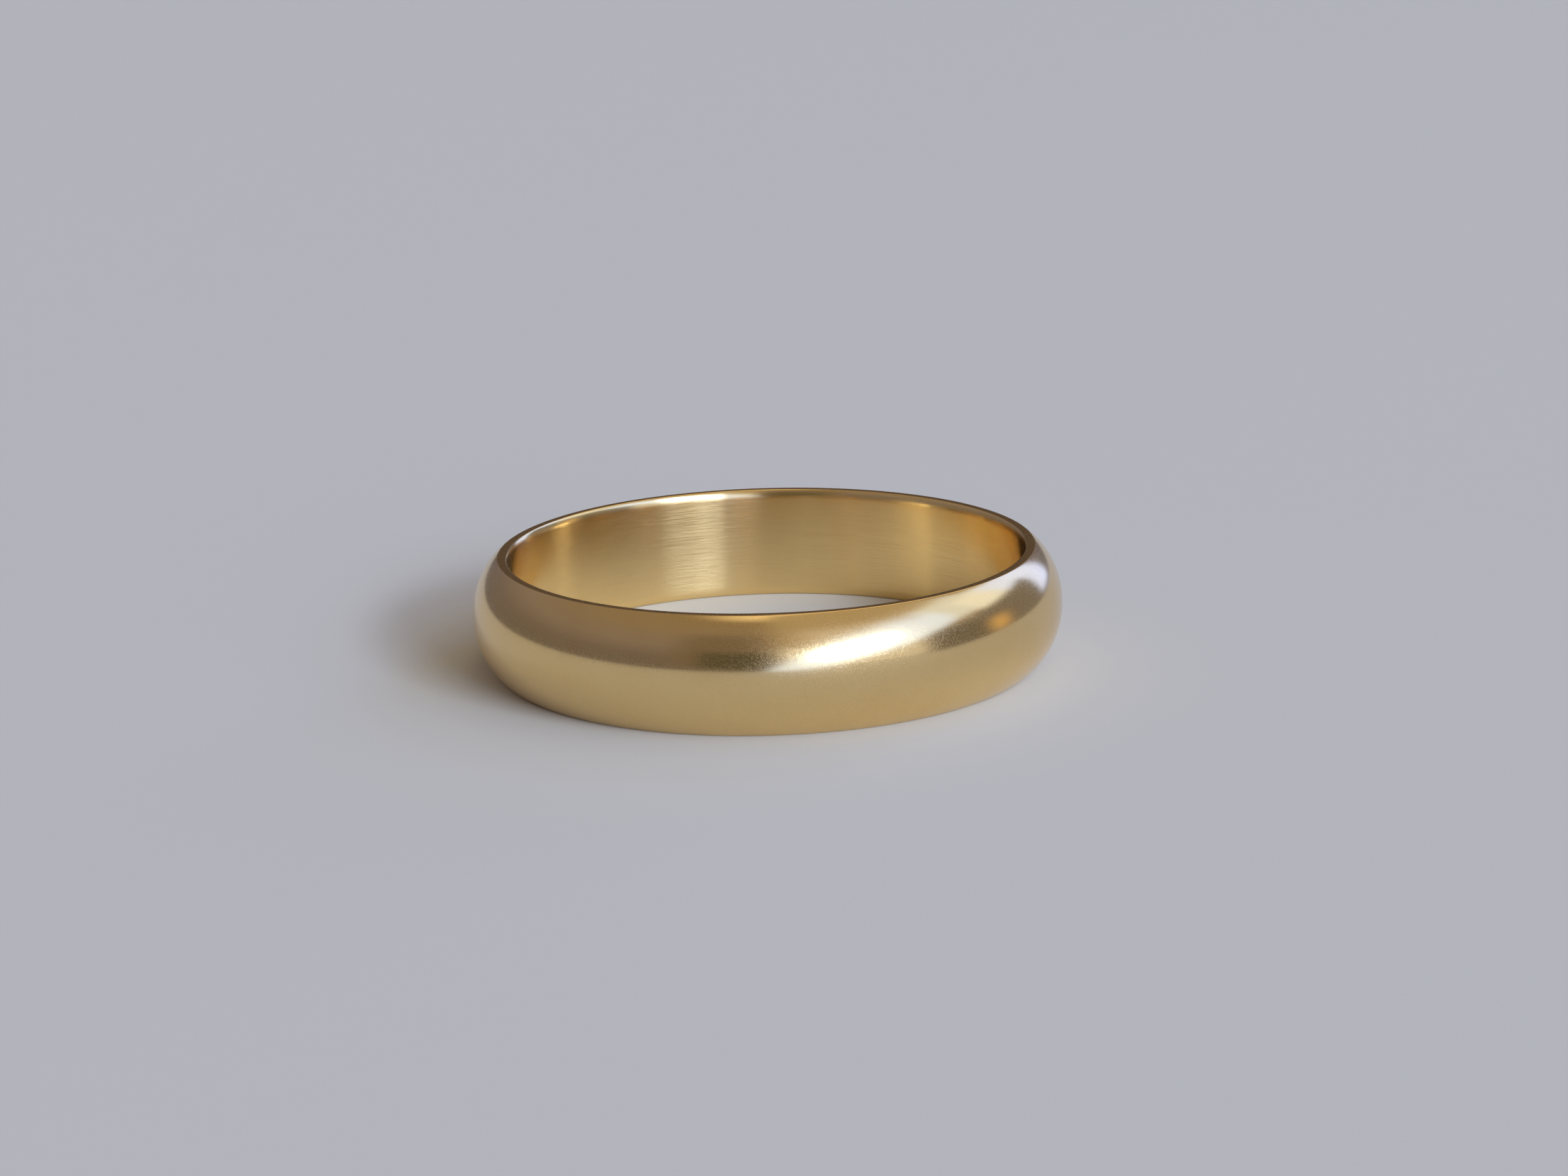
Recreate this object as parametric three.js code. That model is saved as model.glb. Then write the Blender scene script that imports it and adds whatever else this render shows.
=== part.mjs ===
// A plain wedding band: one ring of yellow gold with no seam, domed outside and straight inside.
// Millimetres, +Z up. The band lies on one of its edges, and the origin is the middle of the
// finger hole in the plane of that edge, so the finger would pass along Z.

import * as THREE from 'three';

// Sizes
const BORE_RADIUS = 8.85;    // finger hole, 17.7 mm across: US size 7 1/2, about ISO 56
const BAND_WIDTH = 4.0;      // from edge to edge, along the finger
const CROWN_WALL = 1.3;      // gold at the middle of the dome, where the band is thickest
const EDGE_WALL = 0.37;      // gold at the two edges, where it is thinnest
const DOME_OVERRUN = 0.3;    // the dome's ellipse would run on this far past each edge
const EASE_DEPTH = 0.36;     // eased inner corner, measured along the finger
const EASE_REACH = 0.14;     // the same corner, measured across the wall

// Fineness of the facets
const SECTORS = 96;          // around the ring
const DOME_STEPS = 20;       // across the dome
const EASE_STEPS = 4;        // across each eased corner

const QUARTER_TURN = Math.PI / 2;

// Points along an ellipse in the section's plane, where x is the distance from the finger's
// axis and y is the height. Angle 0 points outward, and a quarter turn points up.
function ellipseArc(centre, radii, fromAngle, toAngle, steps) {
  const points = [];
  for (let i = 0; i <= steps; i += 1) {
    const angle = fromAngle + ((toAngle - fromAngle) * i) / steps;
    const x = centre.x + radii.x * Math.cos(angle);
    const y = centre.y + radii.y * Math.sin(angle);
    points.push(new THREE.Vector2(x, y));
  }
  return points;
}

// The dome, from the lower edge to the upper one. The ellipse is cut off by both edges, so
// the dome meets each flat edge at a crisp corner instead of rolling over into it.
function domeLine() {
  const halfWidth = BAND_WIDTH / 2;
  const axial = halfWidth + DOME_OVERRUN;
  const endAngle = Math.asin(halfWidth / axial);
  const radial = (CROWN_WALL - EDGE_WALL) / (1 - Math.cos(endAngle));
  const centre = new THREE.Vector2(BORE_RADIUS + CROWN_WALL - radial, halfWidth);
  return ellipseArc(centre, new THREE.Vector2(radial, axial), -endAngle, endAngle, DOME_STEPS);
}

// The inside of the band, from the upper flat edge down to the lower one: an eased corner, the
// straight bore and the other eased corner. A quarter ellipse rounds each corner.
function boreLine() {
  const radii = new THREE.Vector2(EASE_REACH, EASE_DEPTH);
  const centreRadius = BORE_RADIUS + EASE_REACH;
  const upper = new THREE.Vector2(centreRadius, BAND_WIDTH - EASE_DEPTH);
  const lower = new THREE.Vector2(centreRadius, EASE_DEPTH);
  return [
    ...ellipseArc(upper, radii, QUARTER_TURN, 2 * QUARTER_TURN, EASE_STEPS),
    ...ellipseArc(lower, radii, 2 * QUARTER_TURN, 3 * QUARTER_TURN, EASE_STEPS),
  ];
}

// One closed section, turned about the finger's axis. The straight lines that join the dome
// to the bore are the two flat edges, and the band stands on either of them.
function bandGeometry() {
  const section = [...domeLine(), ...boreLine()];
  section.push(section[0].clone());
  return new THREE.LatheGeometry(section, SECTORS);
}

const yellowGold = new THREE.MeshStandardMaterial({
  color: new THREE.Color(0.86, 0.62, 0.3),
  roughness: 0.18,
  metalness: 1,
});

const band = new THREE.Mesh(bandGeometry(), yellowGold);
band.name = 'band';
band.rotation.x = QUARTER_TURN;    // a lathe turns about Y, and the finger's axis is Z

const weddingBand = new THREE.Group();
weddingBand.add(band);

export default weddingBand;
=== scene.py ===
import math

import bpy
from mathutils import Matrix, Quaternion, Vector, noise


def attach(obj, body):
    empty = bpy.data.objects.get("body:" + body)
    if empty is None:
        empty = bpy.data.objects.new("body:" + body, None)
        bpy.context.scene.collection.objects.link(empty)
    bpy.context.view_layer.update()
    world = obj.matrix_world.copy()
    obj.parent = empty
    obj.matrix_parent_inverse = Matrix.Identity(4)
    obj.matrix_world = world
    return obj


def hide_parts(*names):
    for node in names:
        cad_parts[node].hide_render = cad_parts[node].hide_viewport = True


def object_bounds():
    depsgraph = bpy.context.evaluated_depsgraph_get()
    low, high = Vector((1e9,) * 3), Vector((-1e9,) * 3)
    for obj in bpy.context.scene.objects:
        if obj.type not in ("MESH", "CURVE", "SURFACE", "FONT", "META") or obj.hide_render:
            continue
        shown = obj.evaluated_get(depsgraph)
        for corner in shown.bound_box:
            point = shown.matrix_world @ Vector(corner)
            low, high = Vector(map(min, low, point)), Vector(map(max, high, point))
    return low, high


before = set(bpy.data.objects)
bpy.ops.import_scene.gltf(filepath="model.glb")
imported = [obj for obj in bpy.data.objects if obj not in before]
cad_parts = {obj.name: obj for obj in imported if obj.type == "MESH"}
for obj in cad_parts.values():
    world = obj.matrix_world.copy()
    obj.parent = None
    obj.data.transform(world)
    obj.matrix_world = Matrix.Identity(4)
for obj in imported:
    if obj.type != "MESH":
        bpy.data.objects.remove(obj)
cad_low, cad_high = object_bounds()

# The band: one ring of yellow gold with no seam, turned to a D-section, domed outside and
# straight inside. Its inner corners are eased, and it is polished on a mop by hand. Nothing
# holds it: it lies on one of its two narrow flat edges.

MM = 0.001
OUTER_RADIUS = cad_high.x
BAND_WIDTH = cad_high.z - cad_low.z
CROWN_WALL = 1.3 * MM
EDGE_WALL = 0.37 * MM
DOME_OVERRUN = 0.3 * MM        # the dome's ellipse would run on this far past each edge
EASE_DEPTH = 0.36 * MM         # the eased inner corner, along the finger
EASE_REACH = 0.14 * MM         # the same corner, across the wall
CORNER_ROUND = 0.04 * MM       # what polishing takes off the outer corners
BORE_RADIUS = OUTER_RADIUS - CROWN_WALL
EDGE_RADIUS = BORE_RADIUS + EDGE_WALL
HALF_WIDTH = BAND_WIDTH / 2
RUBBED_RADIUS = BORE_RADIUS + 0.6 * EASE_REACH    # the bore's finish ends in its eased corners

AROUND_STEPS = 512
DOME_STEPS = 72
ROUND_STEPS = 5
EASE_STEPS = 12
BORE_STEPS = 12
QUARTER_TURN = math.pi / 2
HALF_TURN = math.pi
FULL_TURN = 2 * math.pi

# Waves that the mop leaves: how many to a millimetre, and how high they stand.
SLOW_WAVES, SLOW_HEIGHT = 0.22, 0.007 * MM
QUICK_WAVES, QUICK_HEIGHT = 0.6, 0.0016 * MM
QUICK_SHIFT = Vector((17, 5, 9))

# The bake's map: the whole surface in strips that lie one above the other in a square.
STRIPS = 3
STRIP_GAP = 0.008
STRIP_STEPS = math.ceil(AROUND_STEPS / STRIPS)


def ellipse_arc(centre, radii, start, end, steps):
    """Points along an ellipse in the section: distance from the finger's axis, and height."""
    angles = [start + (end - start) * i / steps for i in range(steps + 1)]
    return [
        (centre[0] + radii[0] * math.cos(a), centre[1] + radii[1] * math.sin(a)) for a in angles
    ]


def rounded_corner(before, corner, after):
    """A small round between two lines that meet at a corner."""
    points = []
    for i in range(ROUND_STEPS + 1):
        t = i / ROUND_STEPS
        weights = ((1 - t) ** 2, 2 * t * (1 - t), t**2)
        points.append(
            tuple(
                sum(w * p[axis] for w, p in zip(weights, (before, corner, after)))
                for axis in (0, 1)
            )
        )
    return points


def band_section():
    """The section's outline: out over the dome, across the upper edge and down the bore."""
    axial = HALF_WIDTH + DOME_OVERRUN
    end_angle = math.asin(HALF_WIDTH / axial)
    radial = (CROWN_WALL - EDGE_WALL) / (1 - math.cos(end_angle))
    dome_centre = (OUTER_RADIUS - radial, HALF_WIDTH)
    trim = CORNER_ROUND / axial
    dome = ellipse_arc(
        dome_centre, (radial, axial), trim - end_angle, end_angle - trim, DOME_STEPS
    )

    flat_start = EDGE_RADIUS - CORNER_ROUND
    upper_round = rounded_corner(dome[-1], (EDGE_RADIUS, BAND_WIDTH), (flat_start, BAND_WIDTH))
    lower_round = rounded_corner((flat_start, 0), (EDGE_RADIUS, 0), dome[0])

    ease = (EASE_REACH, EASE_DEPTH)
    upper_centre = (BORE_RADIUS + EASE_REACH, BAND_WIDTH - EASE_DEPTH)
    lower_centre = (BORE_RADIUS + EASE_REACH, EASE_DEPTH)
    upper_ease = ellipse_arc(upper_centre, ease, QUARTER_TURN, HALF_TURN, EASE_STEPS)
    lower_ease = ellipse_arc(lower_centre, ease, HALF_TURN, 3 * QUARTER_TURN, EASE_STEPS)
    bore_drop = lower_centre[1] - upper_centre[1]
    bore = [
        (BORE_RADIUS, upper_centre[1] + bore_drop * i / BORE_STEPS) for i in range(1, BORE_STEPS)
    ]
    return dome + upper_round[1:] + upper_ease + bore + lower_ease + lower_round[:-1]


def hand_polish(x, y, z):
    """How far the mop left the surface proud or hollow at a point."""
    place = Vector((x, y, z)) / MM
    slow = noise.noise(place * SLOW_WAVES)
    quick = noise.noise(place * QUICK_WAVES + QUICK_SHIFT)
    return slow * SLOW_HEIGHT + quick * QUICK_HEIGHT


def band_points(section):
    """The section set round the finger's axis, nowhere proud of the turned blank."""
    points = []
    for column in range(AROUND_STEPS):
        angle = FULL_TURN * column / AROUND_STEPS
        across, along = math.cos(angle), math.sin(angle)
        for radius, height in section:
            on_flat_edge = not 0 < height < BAND_WIDTH
            proud = 0 if on_flat_edge else hand_polish(radius * across, radius * along, height)
            swell = min(radius + proud, OUTER_RADIUS)
            points.append((swell * across, swell * along, cad_low.z + height))
    return points


def band_mesh():
    """The ring's surface: 0 is its polished finish and 1 its rubbed one."""
    section = band_section()
    rows = len(section)
    sides = list(zip(section, section[1:] + section[:1]))
    lengths = [0.0]
    for here, after in sides:
        lengths.append(lengths[-1] + math.dist(here, after))
    side_finishes = [int((here[0] + after[0]) / 2 < RUBBED_RADIUS) for here, after in sides]

    step_length = FULL_TURN * OUTER_RADIUS / AROUND_STEPS
    to_square = (1 - (STRIPS + 1) * STRIP_GAP) / (STRIPS * lengths[-1])
    faces = []
    finishes = []
    places = []
    spread = []
    for column in range(AROUND_STEPS):
        after = (column + 1) % AROUND_STEPS
        strip = column // STRIP_STEPS
        for row in range(rows):
            above = (row + 1) % rows
            finishes.append(side_finishes[row])
            faces.append(
                (
                    column * rows + row,
                    after * rows + row,
                    after * rows + above,
                    column * rows + above,
                )
            )
            for step, length in (
                (column, lengths[row]),
                (column + 1, lengths[row]),
                (column + 1, lengths[row + 1]),
                (column, lengths[row + 1]),
            ):
                places.extend((step_length * step / MM, length / MM))
                in_strip = (step - strip * STRIP_STEPS) * step_length
                spread.append(STRIP_GAP + in_strip * to_square)
                spread.append(STRIP_GAP * (strip + 1) + (strip * lengths[-1] + length) * to_square)

    mesh = bpy.data.meshes.new("band_surface")
    mesh.from_pydata(band_points(section), [], faces)
    mesh.polygons.foreach_set("use_smooth", [True] * len(faces))
    mesh.polygons.foreach_set("material_index", finishes)
    mesh.uv_layers.new(name="surface_mm").data.foreach_set("uv", places)
    mesh.uv_layers.new(name="OFBake").data.foreach_set("uv", spread)
    mesh.uv_layers["surface_mm"].active_render = True
    mesh.uv_layers.active = mesh.uv_layers["surface_mm"]
    mesh.validate()
    return mesh


def put_node(tree, kind, links=None, **settings):
    """A node with its settings, and its inputs set to a value or linked to another's output."""
    node = tree.nodes.new(kind)
    for name, value in settings.items():
        setattr(node, name, value)
    for name, value in (links or {}).items():
        if isinstance(value, bpy.types.NodeSocket):
            tree.links.new(value, node.inputs[name])
        else:
            node.inputs[name].default_value = value
    return node


def put_maths(tree, operation, first, second=0.0, third=0.0):
    """A Math node's output."""
    links = {0: first, 1: second, 2: third}
    return put_node(tree, "ShaderNodeMath", links, operation=operation).outputs["Value"]


def put_ramp(tree, value, start, end):
    """An eased change from 0 to 1 as the value goes from start to end."""
    links = {"Value": value, "From Min": start, "From Max": end}
    node = put_node(tree, "ShaderNodeMapRange", links, interpolation_type="SMOOTHSTEP")
    return node.outputs["Result"]


def put_blend(tree, share, first, second):
    """A colour that goes from the first to the second as the share goes from 0 to 1."""
    first_colour, second_colour, result = 6, 7, 2    # the Mix node's colour sockets
    links = {"Factor": share, first_colour: first, second_colour: second}
    return put_node(tree, "ShaderNodeMix", links, data_type="RGBA").outputs[result]


def new_group(name, values, mask):
    """An empty shader node group that makes a mask from a place and some values."""
    group = bpy.data.node_groups.new(name, "ShaderNodeTree")
    group.interface.new_socket("Place", in_out="INPUT", socket_type="NodeSocketVector")
    for label in values:
        group.interface.new_socket(label, in_out="INPUT", socket_type="NodeSocketFloat")
    group.interface.new_socket(mask, in_out="OUTPUT", socket_type="NodeSocketFloat")
    return group, group.nodes.new("NodeGroupInput"), group.nodes.new("NodeGroupOutput")


def put_group(tree, group, **values):
    """A group placed in a material, with its inputs set or linked."""
    links = {name.capitalize(): value for name, value in values.items()}
    return put_node(tree, "ShaderNodeGroup", links, node_tree=group)


def hairline_group():
    """Short parallel strokes in one direction: 1 on a stroke, 0 on the polish between."""
    stroke_edge = 0.12    # how gently a stroke starts, in the grain's own 0 to 1
    group, given, result = new_group(
        "hairlines", ("Angle", "Length", "Width", "Thinness"), "Stroke"
    )
    turned = put_node(
        group,
        "ShaderNodeVectorRotate",
        {"Vector": given.outputs["Place"], "Angle": given.outputs["Angle"]},
        rotation_type="Z_AXIS",
    )
    stroke = put_node(
        group,
        "ShaderNodeCombineXYZ",
        {"X": given.outputs["Length"], "Y": given.outputs["Width"], "Z": 1.0},
    )
    scaled = put_node(
        group,
        "ShaderNodeVectorMath",
        {0: turned.outputs["Vector"], 1: stroke.outputs["Vector"]},
        operation="DIVIDE",
    )
    grain = put_node(
        group,
        "ShaderNodeTexNoise",
        {"Vector": scaled.outputs["Vector"], "Scale": 1.0, "Detail": 1.0, "Roughness": 0.4},
        noise_dimensions="2D",
    )
    full = put_maths(group, "ADD", given.outputs["Thinness"], stroke_edge)
    mask = put_ramp(group, grain.outputs["Fac"], given.outputs["Thinness"], full)
    group.links.new(mask, result.inputs["Stroke"])
    return group


def scratch_group():
    """Straight scratches, one to a cell, near one direction: 1 in a scratch, 0 elsewhere."""
    shortest, spread = 0.2, 0.3    # half a scratch, as a share of the length given
    full_share = 0.3               # the middle share of it that has its full depth
    group, given, result = new_group(
        "scratches", ("Angle", "Stray", "Spacing", "Length", "Width", "Share"), "Scratch"
    )
    cells = put_node(
        group,
        "ShaderNodeTexVoronoi",
        {
            "Vector": given.outputs["Place"],
            "Scale": put_maths(group, "DIVIDE", 1.0, given.outputs["Spacing"]),
            "Randomness": 1.0,
        },
        voronoi_dimensions="2D",
    )
    local = put_node(
        group,
        "ShaderNodeVectorMath",
        {0: given.outputs["Place"], 1: cells.outputs["Position"]},
        operation="SUBTRACT",
    )
    chance = put_node(group, "ShaderNodeSeparateColor", {"Color": cells.outputs["Color"]})
    sway = put_maths(group, "SUBTRACT", chance.outputs["Red"], 0.5)
    angle = put_maths(group, "MULTIPLY_ADD", sway, given.outputs["Stray"], given.outputs["Angle"])
    turned = put_node(
        group,
        "ShaderNodeVectorRotate",
        {"Vector": local.outputs["Vector"], "Angle": angle},
        rotation_type="Z_AXIS",
    )
    scratch = put_node(group, "ShaderNodeSeparateXYZ", {"Vector": turned.outputs["Vector"]})
    along = put_maths(group, "ABSOLUTE", scratch.outputs["X"])
    aside = put_maths(group, "ABSOLUTE", scratch.outputs["Y"])
    reach = put_maths(group, "MULTIPLY_ADD", chance.outputs["Blue"], spread, shortest)
    half = put_maths(group, "MULTIPLY", given.outputs["Length"], reach)
    mask = put_maths(
        group,
        "MULTIPLY",
        put_ramp(group, along, half, put_maths(group, "MULTIPLY", half, full_share)),
        put_ramp(group, aside, given.outputs["Width"], 0.0),
    )
    picked = put_maths(group, "LESS_THAN", chance.outputs["Green"], given.outputs["Share"])
    group.links.new(put_maths(group, "MULTIPLY", mask, picked), result.inputs["Scratch"])
    return group


hairlines = hairline_group()
scratches = scratch_group()


def gold_material(name):
    """Polished gold and its Principled node, with the surface's place in millimetres."""
    material = bpy.data.materials.new(name)
    material.use_nodes = True
    tree = material.node_tree
    shader = tree.nodes["Principled BSDF"]
    shader.inputs["Metallic"].default_value = 1.0
    place = put_node(tree, "ShaderNodeUVMap", uv_map="surface_mm").outputs["UV"]
    return material, tree, shader, place


def tone_of_gold(tree, shader, clean, handled):
    """Slightly redder and duller clouds, where the gold is handled most."""
    worn_from, worn_to = 0.4, 0.75
    cloud = put_node(
        tree,
        "ShaderNodeTexNoise",
        {
            "Vector": tree.nodes.new("ShaderNodeTexCoord").outputs["Object"],
            "Scale": 260.0,
            "Detail": 8.0,
            "Roughness": 0.68,
        },
    )
    worn = put_ramp(tree, cloud.outputs["Fac"], worn_from, worn_to)
    tree.links.new(put_blend(tree, worn, clean, handled), shader.inputs["Base Color"])
    return worn


# Outside: a mirror polish, hazed by fine scratches of everyday wear. Most are short and lie in
# three directions, a few are longer, and on one spot of the dome they are deeper.
OUTSIDE_CLEAN = (0.86, 0.625, 0.29, 1)
OUTSIDE_HANDLED = (0.83, 0.585, 0.26, 1)
MIRROR_GLOSS = 0.12
SCUFFED_GLOSS, WORN_GLOSS, RUBBED_GLOSS = 0.20, 0.04, 0.03    # what wear adds to it
SCRATCH_DEPTH = 0.2e-6
RUBBED_DEPTH = 0.6    # how much deeper they are at the spot
RUBBED_SPOT = (48.4, 2.5, 0.0)    # millimetres round the ring and over the dome
SPOT_EDGE, SPOT_CORE = 2.6, 0.2    # millimetres from its middle
SCRATCH_KINDS = (
    # direction and stray in radians, spacing, length and width in millimetres, share of cells
    (1.05, 0.8, 0.060, 0.13, 0.005, 0.70),
    (2.20, 0.8, 0.080, 0.17, 0.005, 0.65),
    (0.45, 1.2, 0.130, 0.30, 0.005, 0.60),
    (0.00, 3.1, 1.300, 1.70, 0.009, 0.35),
)

polish, tree, shader, place = gold_material("polished_gold")
worn = tone_of_gold(tree, shader, OUTSIDE_CLEAN, OUTSIDE_HANDLED)
scuffed = 0.0
for angle, stray, spacing, length, width, share in SCRATCH_KINDS:
    cut = put_group(
        tree, scratches, place=place, angle=angle, stray=stray, spacing=spacing, length=length,
        width=width, share=share,
    )
    scuffed = put_maths(tree, "MAXIMUM", scuffed, cut.outputs["Scratch"])
off_spot = put_node(
    tree, "ShaderNodeVectorMath", {0: place, 1: RUBBED_SPOT}, operation="DISTANCE"
).outputs["Value"]
rubbing = put_ramp(tree, off_spot, SPOT_EDGE, SPOT_CORE)
gloss = put_maths(tree, "MULTIPLY_ADD", scuffed, SCUFFED_GLOSS, MIRROR_GLOSS)
gloss = put_maths(tree, "MULTIPLY_ADD", worn, WORN_GLOSS, gloss)
gloss = put_maths(tree, "MULTIPLY_ADD", rubbing, RUBBED_GLOSS, gloss)
tree.links.new(gloss, shader.inputs["Roughness"])
deeper = put_maths(tree, "MULTIPLY_ADD", rubbing, RUBBED_DEPTH, 1.0)
bump = put_node(
    tree,
    "ShaderNodeBump",
    {
        "Height": put_maths(tree, "MULTIPLY", scuffed, deeper),
        "Strength": 1.0,
        "Distance": SCRATCH_DEPTH,
    },
    invert=True,
)
tree.links.new(bump.outputs["Normal"], shader.inputs["Normal"])

# Inside: the same gold, rubbed round and round, so it spreads what it mirrors up and down.
# Its colours are set a little lighter than the outside's, as painted light that brightens what the
# bore mirrors.
INSIDE_CLEAN_PAINTED_LIGHTER = (0.90, 0.665, 0.305, 1)
INSIDE_HANDLED_PAINTED_LIGHTER = (0.88, 0.63, 0.27, 1)
RUBBED_ROUND_GLOSS, LINE_GLOSS = 0.135, 0.10
ROUND_THE_BORE = 0.25    # the way of the rubbing, as a share of a turn
LINE_KINDS = (
    # direction in radians, length and width in millimetres, thinness
    (0.00, 3.0, 0.004, 0.50),
    (0.01, 1.2, 0.005, 0.60),
)

rubbed, tree, shader, place = gold_material("rubbed_gold")
# the inside's colours are painted lighter than the outside's, to brighten the bore's reflections
tone_of_gold(tree, shader, INSIDE_CLEAN_PAINTED_LIGHTER, INSIDE_HANDLED_PAINTED_LIGHTER)
rings = [
    put_group(
        tree, hairlines, place=place, angle=angle, length=length, width=width, thinness=thinness
    ).outputs["Stroke"]
    for angle, length, width, thinness in LINE_KINDS
]
lines = put_maths(tree, "MAXIMUM", *rings)
gloss = put_maths(tree, "MULTIPLY_ADD", lines, LINE_GLOSS, RUBBED_ROUND_GLOSS)
tree.links.new(gloss, shader.inputs["Roughness"])
shader.inputs["Anisotropic"].default_value = 1.0
shader.inputs["Anisotropic Rotation"].default_value = ROUND_THE_BORE

band = bpy.data.objects.new("polished_band", band_mesh())
band.data.materials.append(polish)
band.data.materials.append(rubbed)
bpy.context.scene.collection.objects.link(band)
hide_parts("band")
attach(band, "root")


# The table: a plain pale matt sheet that the ring lies loose on. It runs far past the view on
# all sides, so that the gold mirrors nothing else that is lower than itself.

TABLE_REACH = 3.0
TABLE_COLOUR = (0.70, 0.68, 0.59, 1)
TABLE_ROUGHNESS = 0.9
TABLE_SHINE = 0.2

table_mesh = bpy.data.meshes.new("table")
table_mesh.from_pydata(
    [
        (x * TABLE_REACH, y * TABLE_REACH, cad_low.z)
        for x, y in ((-1, -1), (1, -1), (1, 1), (-1, 1))
    ],
    [],
    [(0, 1, 2, 3)],
)
table = bpy.data.objects.new("table", table_mesh)
sheet = bpy.data.materials.new("pale_sheet")
sheet.use_nodes = True
sheet_finish = sheet.node_tree.nodes["Principled BSDF"].inputs
sheet_finish["Base Color"].default_value = TABLE_COLOUR
sheet_finish["Roughness"].default_value = TABLE_ROUGHNESS
sheet_finish["Specular IOR Level"].default_value = TABLE_SHINE
table_mesh.materials.append(sheet)
bpy.context.scene.collection.objects.link(table)


# The light: a dim room with a wide curtained window on its right and a smaller one beyond it,
# built of soft-edged parts. Azimuth is in degrees from the viewer's seat, growing to the right,
# and elevation is in degrees above the table.

OVERHEAD = 90.0
ROOM_LOW = (0.16, 0.15, 0.17, 1)
ROOM_OVERHEAD = (1.30, 1.12, 0.84, 1)
ROOM_BETWEEN = (
    # how far up, where 1 is overhead, and the colour there
    (0.17, (0.19, 0.17, 0.195, 1)),
    (0.33, (0.26, 0.23, 0.26, 1)),
    (0.60, (0.29, 0.245, 0.21, 1)),
    (0.83, (0.29, 0.235, 0.17, 1)),
)
DARK_CORNER = (0.10, 0.075, 0.06, 1)
PALE_WALL = (0.85, 0.71, 0.50, 1)
CEILING_GLOW = (0.47, 0.41, 0.32, 1)
WALL_GLOW = (0.64, 0.61, 0.65, 1)
FAR_FRAME = (0.84, 1.00, 1.40, 1)
SILL_GLOW = (0.72, 0.73, 0.82, 1)
NEAR_CURTAIN = (1.08, 1.45, 2.75, 1)
FAR_CURTAIN = (0.93, 1.25, 2.4, 1)
BARE_SKY = (25.0, 29.4, 40.0, 1)
WINDOW_REVEAL = (1.02, 1.18, 1.60, 1)
SECOND_WINDOW = (0.92, 1.22, 2.5, 1)
CHAIR = (0.17, 0.16, 0.165, 1)
CUPBOARD = (0.21, 0.20, 0.22, 1)
WARM_LAMP = (0.75, 0.53, 0.27, 1)
VIEWER = (0.20, 0.165, 0.145, 1)
VIEWER_HANDS = (0.10, 0.095, 0.075, 1)

world = bpy.data.worlds.new("room")
bpy.context.scene.world = world
world.use_nodes = True
room = world.node_tree

direction = put_node(
    room,
    "ShaderNodeSeparateXYZ",
    {"Vector": room.nodes.new("ShaderNodeTexCoord").outputs["Generated"]},
)
across, away, upward = (direction.outputs[axis] for axis in "XYZ")
heading = put_maths(room, "ARCTAN2", across, put_maths(room, "MULTIPLY", away, -1.0))
azimuth = put_maths(room, "DEGREES", heading)
elevation = put_maths(room, "DEGREES", put_maths(room, "ARCSINE", upward))


def rising(slope, start):
    """An elevation that changes evenly with the azimuth."""
    return put_maths(room, "MULTIPLY_ADD", azimuth, slope, start)


def past(value, limit, softness):
    """1 where the value is past the limit and 0 where it isn't, with a soft edge."""
    beyond = put_maths(room, "SUBTRACT", value, limit)
    return put_ramp(room, beyond, -softness, softness)


def all_of(first, *others):
    """1 only where every mask is 1."""
    mask = first
    for other in others:
        mask = put_maths(room, "MULTIPLY", mask, other)
    return mask


def between(left, right, bottom, top, softness, side_softness=None):
    """A part of the room, by its azimuths and elevations, with soft edges all round."""
    side_softness = side_softness or softness
    return all_of(
        past(azimuth, left, side_softness),
        past(right, azimuth, side_softness),
        past(elevation, bottom, softness),
        past(top, elevation, softness),
    )


walls = room.nodes.new("ShaderNodeValToRGB")
walls.color_ramp.elements[0].color = ROOM_LOW
walls.color_ramp.elements[1].color = ROOM_OVERHEAD
for position, colour in ROOM_BETWEEN:
    walls.color_ramp.elements.new(position).color = colour
room.links.new(put_maths(room, "DIVIDE", elevation, OVERHEAD), walls.inputs["Fac"])

# The curtained window is seen from one side, so its sill and its lintel rise to the right and
# its near side slopes. The gap in the curtain shows a strip of bare sky.
near_side = put_maths(room, "MULTIPLY_ADD", elevation, 0.75, -1.0)
far_side = 86
sill = rising(0.41, -6.7)
lintel = put_maths(room, "MINIMUM", rising(0.36, 27.0), 48.0)
curtained = all_of(
    past(azimuth, near_side, 5),
    past(far_side, azimuth, 4),
    past(elevation, sill, 4),
    past(lintel, elevation, 9),
)
gap_start, gap_end = 20.5, 50
gap_foot, gap_top = rising(0.45, 3.0), rising(0.42, 11.5)
gap_in_curtain = all_of(
    past(azimuth, gap_start, 2),
    past(gap_end, azimuth, 6),
    past(elevation, gap_foot, 4),
    past(gap_top, elevation, 4.5),
)
curtain_middle, curtain_fade = 62, 14
far_half = past(azimuth, curtain_middle, curtain_fade)
curtain = put_blend(room, far_half, NEAR_CURTAIN, FAR_CURTAIN)

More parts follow.
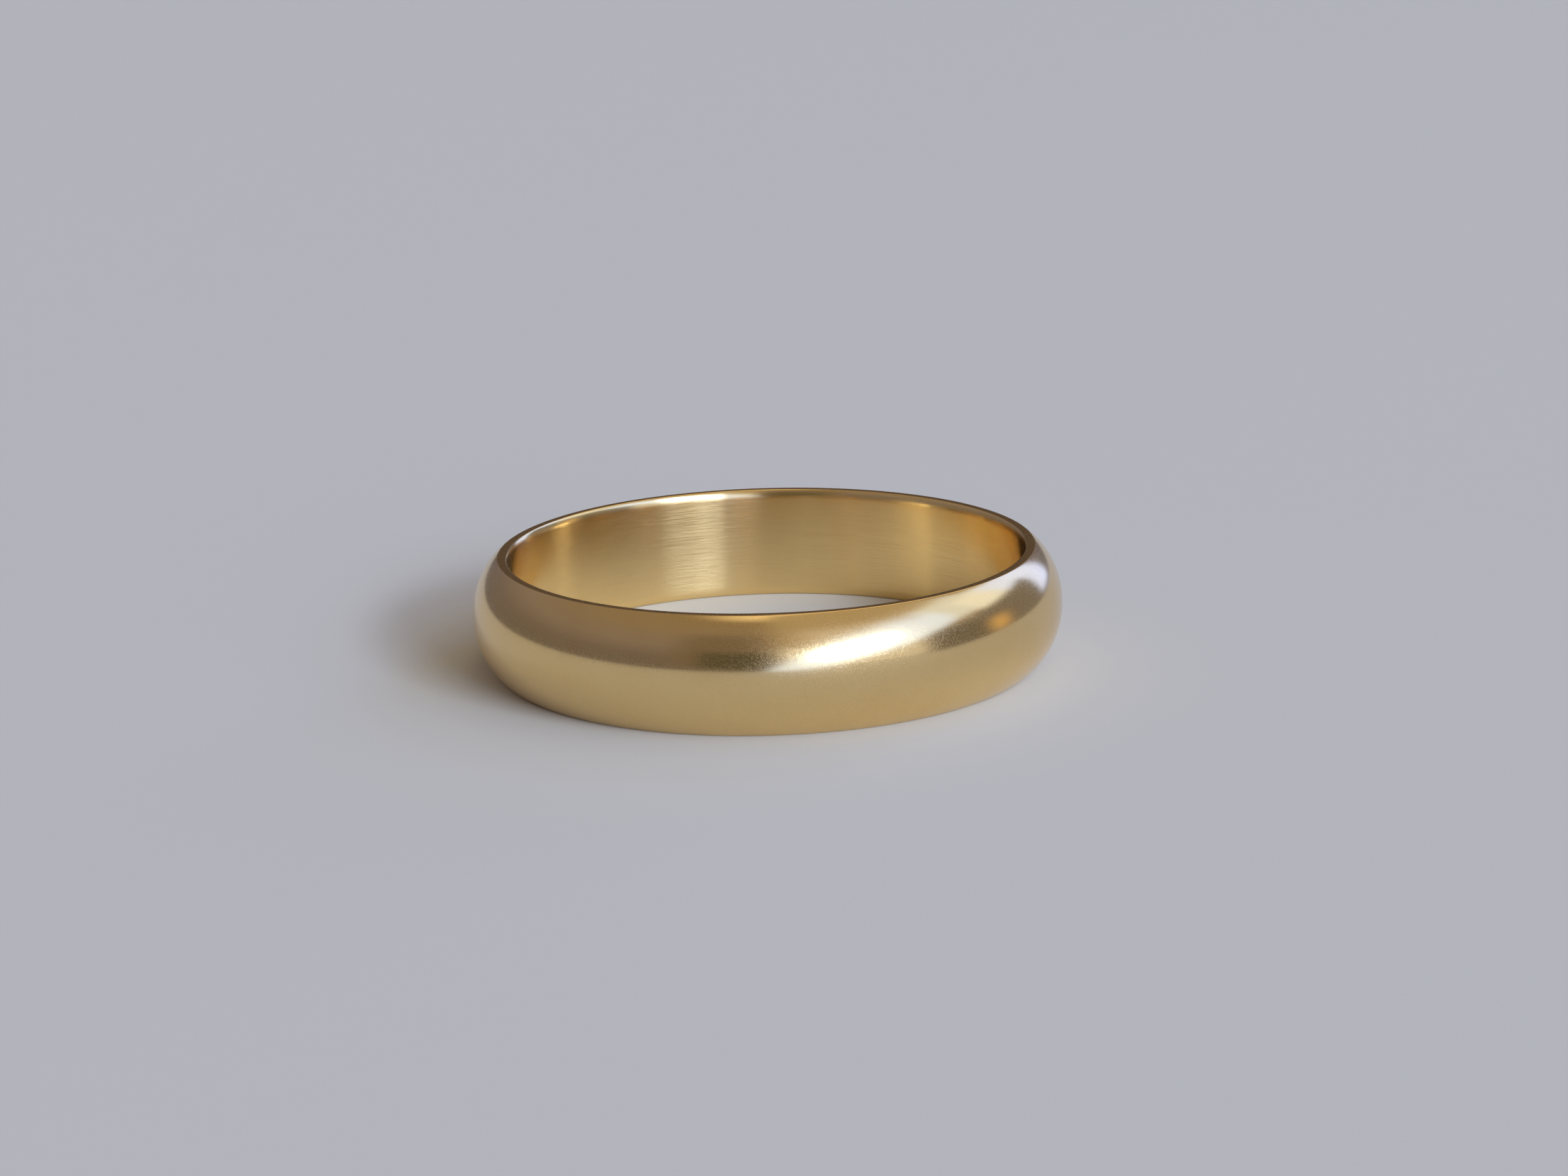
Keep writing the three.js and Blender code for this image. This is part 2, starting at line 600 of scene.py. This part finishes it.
# The parts are laid over each other in this order. Each has its left, right, bottom and top,
# its softness, and the softness of its sides where that is another.
surroundings = walls.outputs["Color"]
for colour, mask in (
    # behind the ring
    (DARK_CORNER, between(-200, -163, -5, 44, 10, 6)),
    (DARK_CORNER, between(163, 200, -5, 44, 10, 6)),
    (PALE_WALL, between(134, 178, 38, 84, 6, 6)),
    # on the right, what the wall and the ceiling throw back
    (CEILING_GLOW, between(2, 125, 25, 100, 12, 12)),
    (WALL_GLOW, between(16, 118, 30, 55, 8, 10)),
    # the window on the right, from its frame to the strip of bare sky, and one beyond it
    (FAR_FRAME, between(80, 122, 28, 52, 4, 6)),
    (SILL_GLOW, between(4, 63, 0, 30, 3, 5)),
    (curtain, curtained),
    (BARE_SKY, gap_in_curtain),
    (WINDOW_REVEAL, between(100, 130, 24, 44, 4)),
    (SECOND_WINDOW, between(131, 149, 2, 38, 3)),
    (SECOND_WINDOW, between(122, 134, 22, 40, 3)),
    # what stands in front of them, with a small warm lamp
    (CHAIR, between(68, 94, -3, 20, 5, 4)),
    (CUPBOARD, between(94, 135, -3, 24, 4, 3)),
    (WARM_LAMP, between(96, 106, 1, 13, 5)),
    # the viewer, who leans in on the left of the seat
    (VIEWER, between(-38, -2, 6, 50, 8, 10)),
    (VIEWER_HANDS, between(-27, -1, 3, 25, 4, 5)),
):
    surroundings = put_blend(room, mask, surroundings, colour)

room.links.new(surroundings, room.nodes["Background"].inputs["Color"])
room.nodes["Background"].inputs["Strength"].default_value = 1.0


# The view: a long lens a hand's breadth from the ring, looking a little down on it from a low
# seat. It leans slightly, so that the band rises towards the right.

RING_CENTRE = (cad_low + cad_high) / 2

VIEW_DISTANCE = 114.1 * MM
VIEW_ELEVATION = math.radians(14.6)
VIEW_LEAN = math.radians(-1.6)
LENS_LENGTH = 75.8
NEAREST_SEEN = 1 * MM
FURTHEST_SEEN = 20
AIM_RIGHT = 0.58 * MM
AIM_ABOVE = 0.49 * MM

view_up = Vector((0, math.sin(VIEW_ELEVATION), math.cos(VIEW_ELEVATION)))
towards_viewer = Vector((0, -math.cos(VIEW_ELEVATION), math.sin(VIEW_ELEVATION)))
aim = RING_CENTRE + Vector((AIM_RIGHT, 0, 0)) + view_up * AIM_ABOVE

camera = bpy.data.objects.new("camera", bpy.data.cameras.new("camera"))
camera.data.lens = LENS_LENGTH
camera.data.clip_start = NEAREST_SEEN
camera.data.clip_end = FURTHEST_SEEN
camera.location = RING_CENTRE + towards_viewer * VIEW_DISTANCE
level_turn = (aim - camera.location).to_track_quat("-Z", "Y")
camera.rotation_mode = "QUATERNION"
camera.rotation_quaternion = level_turn @ Quaternion((0, 0, 1), VIEW_LEAN)
bpy.context.scene.collection.objects.link(camera)
bpy.context.scene.camera = camera
bpy.context.scene.view_settings.view_transform = "Standard"
